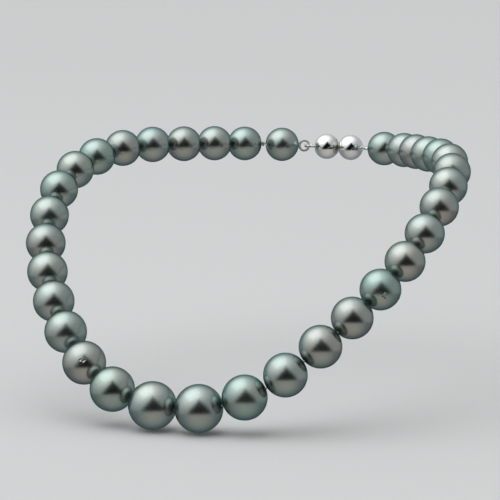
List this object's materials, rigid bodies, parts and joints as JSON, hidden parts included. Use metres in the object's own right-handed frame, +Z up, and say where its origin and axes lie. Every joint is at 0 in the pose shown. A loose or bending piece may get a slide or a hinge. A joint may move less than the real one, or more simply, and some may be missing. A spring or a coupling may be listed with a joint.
{
  "type": "pearl necklace",
  "caption": "Graduated strand of round dark pearls, draped and closed as worn, with a two-ball magnetic clasp at the nape.",
  "frame": {"origin": "on the wearer's neck axis, level with the highest pearls at the sides of the neck", "axes": "+Z up, -Y the way the wearer faces, +X the wearer's left"},
  "size_m": [0.1174, 0.1338, 0.0643],
  "materials": {
    "pearl": "lustrous nacre, satin gloss",
    "thread": "twisted silk",
    "gimp": "fine coiled wire",
    "clasp_metal": "polished plating",
    "magnet": "nickel plated"
  },
  "bodies": {
    "pearl_right_01": {"pearl_right_01": "pearl", "stringing_thread": "thread"},
    "pearl_left_01": {"pearl_left_01": "pearl"},
    "pearl_left_02": {"pearl_left_02": "pearl"},
    "pearl_left_03": {"pearl_left_03": "pearl"},
    "pearl_left_04": {"pearl_left_04": "pearl"},
    "pearl_left_05": {"pearl_left_05": "pearl"},
    "pearl_left_06": {"pearl_left_06": "pearl"},
    "pearl_left_07": {"pearl_left_07": "pearl"},
    "pearl_left_08": {"pearl_left_08": "pearl"},
    "pearl_left_09": {"pearl_left_09": "pearl"},
    "pearl_left_10": {"pearl_left_10": "pearl"},
    "pearl_left_11": {"pearl_left_11": "pearl"},
    "pearl_left_12": {"pearl_left_12": "pearl"},
    "pearl_left_13": {"pearl_left_13": "pearl"},
    "pearl_left_14": {"pearl_left_14": "pearl"},
    "pearl_left_15": {"pearl_left_15": "pearl"},
    "pearl_left_16": {"pearl_left_16": "pearl"},
    "pearl_left_17": {"pearl_left_17": "pearl", "end_knot_left": "thread", "gimp_loop_left": "gimp"},
    "clasp_half_left": {"clasp_ball_left": "clasp_metal", "clasp_magnet_left": "magnet", "clasp_eye_left": "clasp_metal"},
    "pearl_right_02": {"pearl_right_02": "pearl"},
    "pearl_right_03": {"pearl_right_03": "pearl"},
    "pearl_right_04": {"pearl_right_04": "pearl"},
    "pearl_right_05": {"pearl_right_05": "pearl"},
    "pearl_right_06": {"pearl_right_06": "pearl"},
    "pearl_right_07": {"pearl_right_07": "pearl"},
    "pearl_right_08": {"pearl_right_08": "pearl"},
    "pearl_right_09": {"pearl_right_09": "pearl"},
    "pearl_right_10": {"pearl_right_10": "pearl"},
    "pearl_right_11": {"pearl_right_11": "pearl"},
    "pearl_right_12": {"pearl_right_12": "pearl"},
    "pearl_right_13": {"pearl_right_13": "pearl"},
    "pearl_right_14": {"pearl_right_14": "pearl"},
    "pearl_right_15": {"pearl_right_15": "pearl"},
    "pearl_right_16": {"pearl_right_16": "pearl"},
    "pearl_right_17": {"pearl_right_17": "pearl", "end_knot_right": "thread", "gimp_loop_right": "gimp"},
    "clasp_half_right": {"clasp_ball_right": "clasp_metal", "clasp_magnet_right": "magnet", "clasp_eye_right": "clasp_metal"}
  },
  "joints": [
    {"name": "clasp_swing_left", "type": "hinge", "parent": "pearl_left_17", "child": "clasp_half_left", "pos_m": [0.00877, 0.06159, -0.00404], "axis": [0, 0, -1], "range_deg": [0, 75]},
    {"name": "clasp_swing_right", "type": "hinge", "parent": "pearl_right_17", "child": "clasp_half_right", "pos_m": [-0.00877, 0.06159, -0.00404], "axis": [0, 0, 1], "range_deg": [0, 75]},
    {"name": "bend_front", "type": "hinge", "parent": "pearl_right_01", "child": "pearl_left_01", "pos_m": [0, -0.06243, -0.05305], "axis": [0, 0, -1], "range_deg": [0, 15], "deforming": ["stringing_thread"]},
    {"name": "bend_left_02", "type": "hinge", "parent": "pearl_left_01", "child": "pearl_left_02", "pos_m": [0.01244, -0.06149, -0.0514], "axis": [0, 0, -1], "range_deg": [0, 15]},
    {"name": "bend_right_02", "type": "hinge", "parent": "pearl_right_01", "child": "pearl_right_02", "pos_m": [-0.01244, -0.06149, -0.0514], "axis": [0, 0, 1], "range_deg": [0, 15]},
    {"name": "bend_left_03", "type": "hinge", "parent": "pearl_left_02", "child": "pearl_left_03", "pos_m": [0.02296, -0.05845, -0.04704], "axis": [0, 0, -1], "range_deg": [0, 15]},
    {"name": "bend_right_03", "type": "hinge", "parent": "pearl_right_02", "child": "pearl_right_03", "pos_m": [-0.02296, -0.05845, -0.04704], "axis": [0, 0, 1], "range_deg": [0, 15]},
    {"name": "bend_left_04", "type": "hinge", "parent": "pearl_left_03", "child": "pearl_left_04", "pos_m": [0.03142, -0.05352, -0.04094], "axis": [0, 0, -1], "range_deg": [0, 15]},
    {"name": "bend_right_04", "type": "hinge", "parent": "pearl_right_03", "child": "pearl_right_04", "pos_m": [-0.03142, -0.05352, -0.04094], "axis": [0, 0, 1], "range_deg": [0, 15]},
    {"name": "bend_left_05", "type": "hinge", "parent": "pearl_left_04", "child": "pearl_left_05", "pos_m": [0.03823, -0.04729, -0.03436], "axis": [0, 0, -1], "range_deg": [0, 15]},
    {"name": "bend_right_05", "type": "hinge", "parent": "pearl_right_04", "child": "pearl_right_05", "pos_m": [-0.03823, -0.04729, -0.03436], "axis": [0, 0, 1], "range_deg": [0, 15]},
    {"name": "bend_left_06", "type": "hinge", "parent": "pearl_left_05", "child": "pearl_left_06", "pos_m": [0.0438, -0.04006, -0.02799], "axis": [0, 0, -1], "range_deg": [0, 15]},
    {"name": "bend_right_06", "type": "hinge", "parent": "pearl_right_05", "child": "pearl_right_06", "pos_m": [-0.0438, -0.04006, -0.02799], "axis": [0, 0, 1], "range_deg": [0, 15]},
    {"name": "bend_left_07", "type": "hinge", "parent": "pearl_left_06", "child": "pearl_left_07", "pos_m": [0.04822, -0.03218, -0.02182], "axis": [0, 0, -1], "range_deg": [0, 15]},
    {"name": "bend_right_07", "type": "hinge", "parent": "pearl_right_06", "child": "pearl_right_07", "pos_m": [-0.04822, -0.03218, -0.02182], "axis": [0, 0, 1], "range_deg": [0, 15]},
    {"name": "bend_left_08", "type": "hinge", "parent": "pearl_left_07", "child": "pearl_left_08", "pos_m": [0.05141, -0.02386, -0.01578], "axis": [0, 0, -1], "range_deg": [0, 15]},
    {"name": "bend_right_08", "type": "hinge", "parent": "pearl_right_07", "child": "pearl_right_08", "pos_m": [-0.05141, -0.02386, -0.01578], "axis": [0, 0, 1], "range_deg": [0, 15]},
    {"name": "bend_left_09", "type": "hinge", "parent": "pearl_left_08", "child": "pearl_left_09", "pos_m": [0.05314, -0.01514, -0.01], "axis": [0, 0, -1], "range_deg": [0, 15]},
    {"name": "bend_right_09", "type": "hinge", "parent": "pearl_right_08", "child": "pearl_right_09", "pos_m": [-0.05314, -0.01514, -0.01], "axis": [0, 0, 1], "range_deg": [0, 15]},
    {"name": "bend_left_10", "type": "hinge", "parent": "pearl_left_09", "child": "pearl_left_10", "pos_m": [0.05329, -0.00586, -0.00526], "axis": [0, 0, -1], "range_deg": [0, 15]},
    {"name": "bend_right_10", "type": "hinge", "parent": "pearl_right_09", "child": "pearl_right_10", "pos_m": [-0.05329, -0.00586, -0.00526], "axis": [0, 0, 1], "range_deg": [0, 15]},
    {"name": "bend_left_11", "type": "hinge", "parent": "pearl_left_10", "child": "pearl_left_11", "pos_m": [0.05184, 0.00384, -0.00217], "axis": [0, 0, -1], "range_deg": [0, 15]},
    {"name": "bend_right_11", "type": "hinge", "parent": "pearl_right_10", "child": "pearl_right_11", "pos_m": [-0.05184, 0.00384, -0.00217], "axis": [0, 0, 1], "range_deg": [0, 15]},
    {"name": "bend_left_12", "type": "hinge", "parent": "pearl_left_11", "child": "pearl_left_12", "pos_m": [0.04886, 0.01342, -0.00049], "axis": [0, 0, -1], "range_deg": [0, 15]},
    {"name": "bend_right_12", "type": "hinge", "parent": "pearl_right_11", "child": "pearl_right_12", "pos_m": [-0.04886, 0.01342, -0.00049], "axis": [0, 0, 1], "range_deg": [0, 15]},
    {"name": "bend_left_13", "type": "hinge", "parent": "pearl_left_12", "child": "pearl_left_13", "pos_m": [0.0443, 0.02235, 0.00006], "axis": [0, 0, -1], "range_deg": [0, 15]},
    {"name": "bend_right_13", "type": "hinge", "parent": "pearl_right_12", "child": "pearl_right_13", "pos_m": [-0.0443, 0.02235, 0.00006], "axis": [0, 0, 1], "range_deg": [0, 15]},
    {"name": "bend_left_14", "type": "hinge", "parent": "pearl_left_13", "child": "pearl_left_14", "pos_m": [0.03857, 0.03048, -0.0003], "axis": [0, 0, -1], "range_deg": [0, 15]},
    {"name": "bend_right_14", "type": "hinge", "parent": "pearl_right_13", "child": "pearl_right_14", "pos_m": [-0.03857, 0.03048, -0.0003], "axis": [0, 0, 1], "range_deg": [0, 15]},
    {"name": "bend_left_15", "type": "hinge", "parent": "pearl_left_14", "child": "pearl_left_15", "pos_m": [0.03248, 0.03822, -0.00099], "axis": [0, 0, -1], "range_deg": [0, 15]},
    {"name": "bend_right_15", "type": "hinge", "parent": "pearl_right_14", "child": "pearl_right_15", "pos_m": [-0.03248, 0.03822, -0.00099], "axis": [0, 0, 1], "range_deg": [0, 15]},
    {"name": "bend_left_16", "type": "hinge", "parent": "pearl_left_15", "child": "pearl_left_16", "pos_m": [0.02643, 0.04583, -0.00179], "axis": [0, 0, -1], "range_deg": [0, 15]},
    {"name": "bend_right_16", "type": "hinge", "parent": "pearl_right_15", "child": "pearl_right_16", "pos_m": [-0.02643, 0.04583, -0.00179], "axis": [0, 0, 1], "range_deg": [0, 15]},
    {"name": "bend_left_17", "type": "hinge", "parent": "pearl_left_16", "child": "pearl_left_17", "pos_m": [0.01924, 0.05327, -0.00273], "axis": [0, 0, -1], "range_deg": [0, 15]},
    {"name": "bend_right_17", "type": "hinge", "parent": "pearl_right_16", "child": "pearl_right_17", "pos_m": [-0.01924, 0.05327, -0.00273], "axis": [0, 0, 1], "range_deg": [0, 15]}
  ]
}
